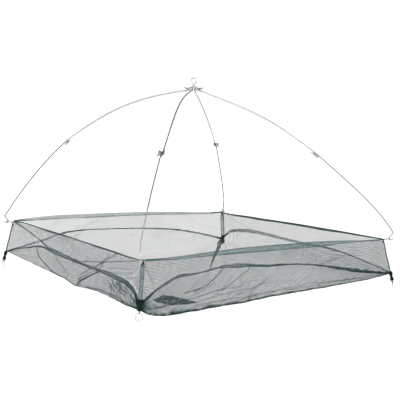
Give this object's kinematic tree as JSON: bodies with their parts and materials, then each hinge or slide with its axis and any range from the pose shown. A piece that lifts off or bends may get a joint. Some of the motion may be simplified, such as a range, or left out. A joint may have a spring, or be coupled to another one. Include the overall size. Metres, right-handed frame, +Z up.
{
  "type": "folding lift net",
  "caption": "Square folding lift net: four jointed wire arms hang from a ring with a lifting eye and spread a shallow net bag with taped edges and tied corners.",
  "frame": {"origin": "the point inside the top of the lifting eye where the line carries the net", "axes": "+Z up; X and Y along the sides of the square net, the arms along its diagonals; the front is -Y"},
  "size_m": [1.0736, 1.0736, 0.7469],
  "materials": {
    "wire": "galvanised",
    "zinc": "zinc plate",
    "netting": "knotless netting",
    "tape": "folded net tape",
    "tie": "bound cord"
  },
  "bodies": {
    "hub": {"hub_ring": "wire", "lifting_eye": "wire", "hub_cross": "wire"},
    "upper_arm_front_left": {"upper_arm_front_left": "wire", "knee_bolt_front_left": "zinc", "knee_washer_front_left": "zinc"},
    "lower_arm_front_left": {"lower_arm_front_left": "wire"},
    "wing_nut_front_left": {"wing_nut_front_left": "zinc"},
    "link_front_left": {"link_ring_front_left": "wire"},
    "net_corner_front_left": {"corner_seam_front_left": "tape", "corner_tie_front_left": "tie"},
    "corner_ring_front_left": {"corner_ring_front_left": "wire"},
    "upper_arm_front_right": {"upper_arm_front_right": "wire", "knee_bolt_front_right": "zinc", "knee_washer_front_right": "zinc"},
    "lower_arm_front_right": {"lower_arm_front_right": "wire"},
    "wing_nut_front_right": {"wing_nut_front_right": "zinc"},
    "link_front_right": {"link_ring_front_right": "wire"},
    "net_corner_front_right": {"corner_seam_front_right": "tape", "corner_tie_front_right": "tie"},
    "corner_ring_front_right": {"corner_ring_front_right": "wire"},
    "upper_arm_back_right": {"upper_arm_back_right": "wire", "knee_bolt_back_right": "zinc", "knee_washer_back_right": "zinc"},
    "lower_arm_back_right": {"lower_arm_back_right": "wire"},
    "wing_nut_back_right": {"wing_nut_back_right": "zinc"},
    "link_back_right": {"link_ring_back_right": "wire"},
    "net_corner_back_right": {"corner_seam_back_right": "tape", "corner_tie_back_right": "tie"},
    "corner_ring_back_right": {"corner_ring_back_right": "wire"},
    "upper_arm_back_left": {"upper_arm_back_left": "wire", "knee_bolt_back_left": "zinc", "knee_washer_back_left": "zinc"},
    "lower_arm_back_left": {"lower_arm_back_left": "wire"},
    "wing_nut_back_left": {"wing_nut_back_left": "zinc"},
    "link_back_left": {"link_ring_back_left": "wire"},
    "net_corner_back_left": {"corner_seam_back_left": "tape", "corner_tie_back_left": "tie"},
    "corner_ring_back_left": {"corner_ring_back_left": "wire"},
    "side_front": {"top_hem_front": "tape", "wall_net_front": "netting", "lower_seam_front": "tape", "skirt_net_front": "netting"},
    "floor_front": {"floor_net_front": "netting"},
    "side_right": {"top_hem_right": "tape", "wall_net_right": "netting", "lower_seam_right": "tape", "skirt_net_right": "netting"},
    "floor_right": {"floor_net_right": "netting"},
    "side_back": {"top_hem_back": "tape", "wall_net_back": "netting", "lower_seam_back": "tape", "skirt_net_back": "netting"},
    "floor_back": {"floor_net_back": "netting"},
    "side_left": {"top_hem_left": "tape", "wall_net_left": "netting", "lower_seam_left": "tape", "skirt_net_left": "netting"},
    "floor_left": {"floor_net_left": "netting"}
  },
  "joints": [
    {"name": "frame_fold", "type": "hinge", "parent": "hub", "child": "upper_arm_front_left", "pos_m": [-0.01697, -0.01697, -0.0405], "axis": [0.7071, -0.7071, 0], "range_deg": [0, 59.16], "deforming": ["top_hem_front", "wall_net_front", "lower_seam_front", "skirt_net_front", "floor_net_front", "top_hem_right", "wall_net_right", "lower_seam_right", "skirt_net_right", "floor_net_right", "top_hem_back", "wall_net_back", "lower_seam_back", "skirt_net_back", "floor_net_back", "top_hem_left", "wall_net_left", "lower_seam_left", "skirt_net_left", "floor_net_left"]},
    {"name": "knee_front_left", "type": "hinge", "parent": "upper_arm_front_left", "child": "lower_arm_front_left", "pos_m": [-0.33375, -0.33375, -0.2575], "axis": [-0.7071, 0.7071, 0], "range_deg": [0, 193.43]},
    {"name": "hook_front_left", "type": "hinge", "parent": "lower_arm_front_left", "child": "link_front_left", "pos_m": [-0.51833, -0.51833, -0.56052], "axis": [0.7071, -0.7071, 0], "range_deg": [0, 57.28]},
    {"name": "corner_hang_front_left", "type": "hinge", "parent": "link_front_left", "child": "net_corner_front_left", "pos_m": [-0.5, -0.5, -0.5665], "axis": [0.7071, -0.7071, 0], "range_deg": [0, 77.02]},
    {"name": "nut_turn_front_left", "type": "hinge", "parent": "upper_arm_front_left", "child": "wing_nut_front_left", "pos_m": [-0.33375, -0.33375, -0.2575], "axis": [-0.7071, 0.7071, 0], "continuous": true},
    {"name": "ring_swing_front_left", "type": "hinge", "parent": "net_corner_front_left", "child": "corner_ring_front_left", "pos_m": [-0.52697, -0.52697, -0.71793], "axis": [0.7071, -0.7071, 0], "range_deg": [-60, 60]},
    {"name": "hub_hinge_front_right", "type": "hinge", "parent": "hub", "child": "upper_arm_front_right", "pos_m": [0.01697, -0.01697, -0.0405], "axis": [0.7071, 0.7071, 0], "range_deg": [0, 57.13]},
    {"name": "knee_front_right", "type": "hinge", "parent": "upper_arm_front_right", "child": "lower_arm_front_right", "pos_m": [0.32173, -0.32173, -0.26863], "axis": [-0.7071, -0.7071, 0], "range_deg": [0, 188.52]},
    {"name": "hook_front_right", "type": "hinge", "parent": "lower_arm_front_right", "child": "link_front_right", "pos_m": [0.51833, -0.51833, -0.56052], "axis": [0.7071, 0.7071, 0], "range_deg": [0, 54.41]},
    {"name": "corner_hang_front_right", "type": "hinge", "parent": "link_front_right", "child": "net_corner_front_right", "pos_m": [0.5, -0.5, -0.5665], "axis": [0.7071, 0.7071, 0], "range_deg": [0, 77.02]},
    {"name": "nut_turn_front_right", "type": "hinge", "parent": "upper_arm_front_right", "child": "wing_nut_front_right", "pos_m": [0.32173, -0.32173, -0.26863], "axis": [0.7071, 0.7071, 0], "continuous": true},
    {"name": "ring_swing_front_right", "type": "hinge", "parent": "net_corner_front_right", "child": "corner_ring_front_right", "pos_m": [0.52697, -0.52697, -0.71793], "axis": [0.7071, 0.7071, 0], "range_deg": [-60, 60]},
    {"name": "hub_hinge_back_right", "type": "hinge", "parent": "hub", "child": "upper_arm_back_right", "pos_m": [0.01697, 0.01697, -0.0405], "axis": [-0.7071, 0.7071, 0], "range_deg": [0, 59.18]},
    {"name": "knee_back_right", "type": "hinge", "parent": "upper_arm_back_right", "child": "lower_arm_back_right", "pos_m": [0.33375, 0.33375, -0.2575], "axis": [0.7071, -0.7071, 0], "range_deg": [0, 193.43]},
    {"name": "hook_back_right", "type": "hinge", "parent": "lower_arm_back_right", "child": "link_back_right", "pos_m": [0.51833, 0.51833, -0.56052], "axis": [-0.7071, 0.7071, 0], "range_deg": [0, 57.28]},
    {"name": "corner_hang_back_right", "type": "hinge", "parent": "link_back_right", "child": "net_corner_back_right", "pos_m": [0.5, 0.5, -0.5665], "axis": [-0.7071, 0.7071, 0], "range_deg": [0, 77.02]},
    {"name": "nut_turn_back_right", "type": "hinge", "parent": "upper_arm_back_right", "child": "wing_nut_back_right", "pos_m": [0.33375, 0.33375, -0.2575], "axis": [0.7071, -0.7071, 0], "continuous": true},
    {"name": "ring_swing_back_right", "type": "hinge", "parent": "net_corner_back_right", "child": "corner_ring_back_right", "pos_m": [0.52697, 0.52697, -0.71793], "axis": [-0.7071, 0.7071, 0], "range_deg": [-60, 60]},
    {"name": "hub_hinge_back_left", "type": "hinge", "parent": "hub", "child": "upper_arm_back_left", "pos_m": [-0.01697, 0.01697, -0.0405], "axis": [-0.7071, -0.7071, 0], "range_deg": [0, 61.14]},
    {"name": "knee_back_left", "type": "hinge", "parent": "upper_arm_back_left", "child": "lower_arm_back_left", "pos_m": [-0.34577, 0.34577, -0.24637], "axis": [0.7071, 0.7071, 0], "range_deg": [0, 198.3]},
    {"name": "hook_back_left", "type": "hinge", "parent": "lower_arm_back_left", "child": "link_back_left", "pos_m": [-0.51833, 0.51833, -0.56052], "axis": [-0.7071, -0.7071, 0], "range_deg": [0, 60.18]},
    {"name": "corner_hang_back_left", "type": "hinge", "parent": "link_back_left", "child": "net_corner_back_left", "pos_m": [-0.5, 0.5, -0.5665], "axis": [-0.7071, -0.7071, 0], "range_deg": [0, 77.02]},
    {"name": "nut_turn_back_left", "type": "hinge", "parent": "upper_arm_back_left", "child": "wing_nut_back_left", "pos_m": [-0.34577, 0.34577, -0.24637], "axis": [0.7071, 0.7071, 0], "continuous": true},
    {"name": "ring_swing_back_left", "type": "hinge", "parent": "net_corner_back_left", "child": "corner_ring_back_left", "pos_m": [-0.52697, 0.52697, -0.71793], "axis": [-0.7071, -0.7071, 0], "range_deg": [-60, 60]},
    {"name": "side_lift_front", "type": "slide", "parent": "hub", "child": "side_front", "axis": [0, 0.7233, 0.6905], "range_m": [0, 0.59173]},
    {"name": "floor_hang_front", "type": "hinge", "parent": "side_front", "child": "floor_front", "pos_m": [0, -0.48657, -0.7181], "axis": [-1, 0, 0], "range_deg": [0, 81.33]},
    {"name": "side_lift_right", "type": "slide", "parent": "hub", "child": "side_right", "axis": [-0.7233, 0, 0.6905], "range_m": [0, 0.59173]},
    {"name": "floor_hang_right", "type": "hinge", "parent": "side_right", "child": "floor_right", "pos_m": [0.48657, 0, -0.7181], "axis": [0, -1, 0], "range_deg": [0, 81.33]},
    {"name": "side_lift_back", "type": "slide", "parent": "hub", "child": "side_back", "axis": [0, -0.734, 0.6792], "range_m": [0, 0.58244]},
    {"name": "floor_hang_back", "type": "hinge", "parent": "side_back", "child": "floor_back", "pos_m": [0, 0.48657, -0.7181], "axis": [1, 0, 0], "range_deg": [0, 81.28]},
    {"name": "side_lift_left", "type": "slide", "parent": "hub", "child": "side_left", "axis": [0.734, 0, 0.6792], "range_m": [0, 0.58244]},
    {"name": "floor_hang_left", "type": "hinge", "parent": "side_left", "child": "floor_left", "pos_m": [-0.48657, 0, -0.7181], "axis": [0, 1, 0], "range_deg": [0, 81.28]}
  ],
  "couplings": [
    {"joint": "knee_front_left", "follows": "frame_fold", "ratio": 3.2695},
    {"joint": "hook_front_left", "follows": "frame_fold", "ratio": 0.96791},
    {"joint": "corner_hang_front_left", "follows": "frame_fold", "ratio": 1.3016},
    {"joint": "hub_hinge_front_right", "follows": "frame_fold", "ratio": 0.96537},
    {"joint": "knee_front_right", "follows": "frame_fold", "ratio": 3.1865},
    {"joint": "hook_front_right", "follows": "frame_fold", "ratio": 0.91949},
    {"joint": "corner_hang_front_right", "follows": "frame_fold", "ratio": 1.3016},
    {"joint": "hub_hinge_back_right", "follows": "frame_fold", "ratio": 0.99999},
    {"joint": "knee_back_right", "follows": "frame_fold", "ratio": 3.2695},
    {"joint": "hook_back_right", "follows": "frame_fold", "ratio": 0.96791},
    {"joint": "corner_hang_back_right", "follows": "frame_fold", "ratio": 1.3016},
    {"joint": "hub_hinge_back_left", "follows": "frame_fold", "ratio": 1.0332},
    {"joint": "knee_back_left", "follows": "frame_fold", "ratio": 3.3518},
    {"joint": "hook_back_left", "follows": "frame_fold", "ratio": 1.017},
    {"joint": "corner_hang_back_left", "follows": "frame_fold", "ratio": 1.3016},
    {"joint": "side_lift_front", "follows": "frame_fold", "m_per_rad": 0.57303},
    {"joint": "floor_hang_front", "follows": "frame_fold", "ratio": 1.3746},
    {"joint": "side_lift_right", "follows": "frame_fold", "m_per_rad": 0.57303},
    {"joint": "floor_hang_right", "follows": "frame_fold", "ratio": 1.3746},
    {"joint": "side_lift_back", "follows": "frame_fold", "m_per_rad": 0.56403},
    {"joint": "floor_hang_back", "follows": "frame_fold", "ratio": 1.3736},
    {"joint": "side_lift_left", "follows": "frame_fold", "m_per_rad": 0.56403},
    {"joint": "floor_hang_left", "follows": "frame_fold", "ratio": 1.3736}
  ]
}
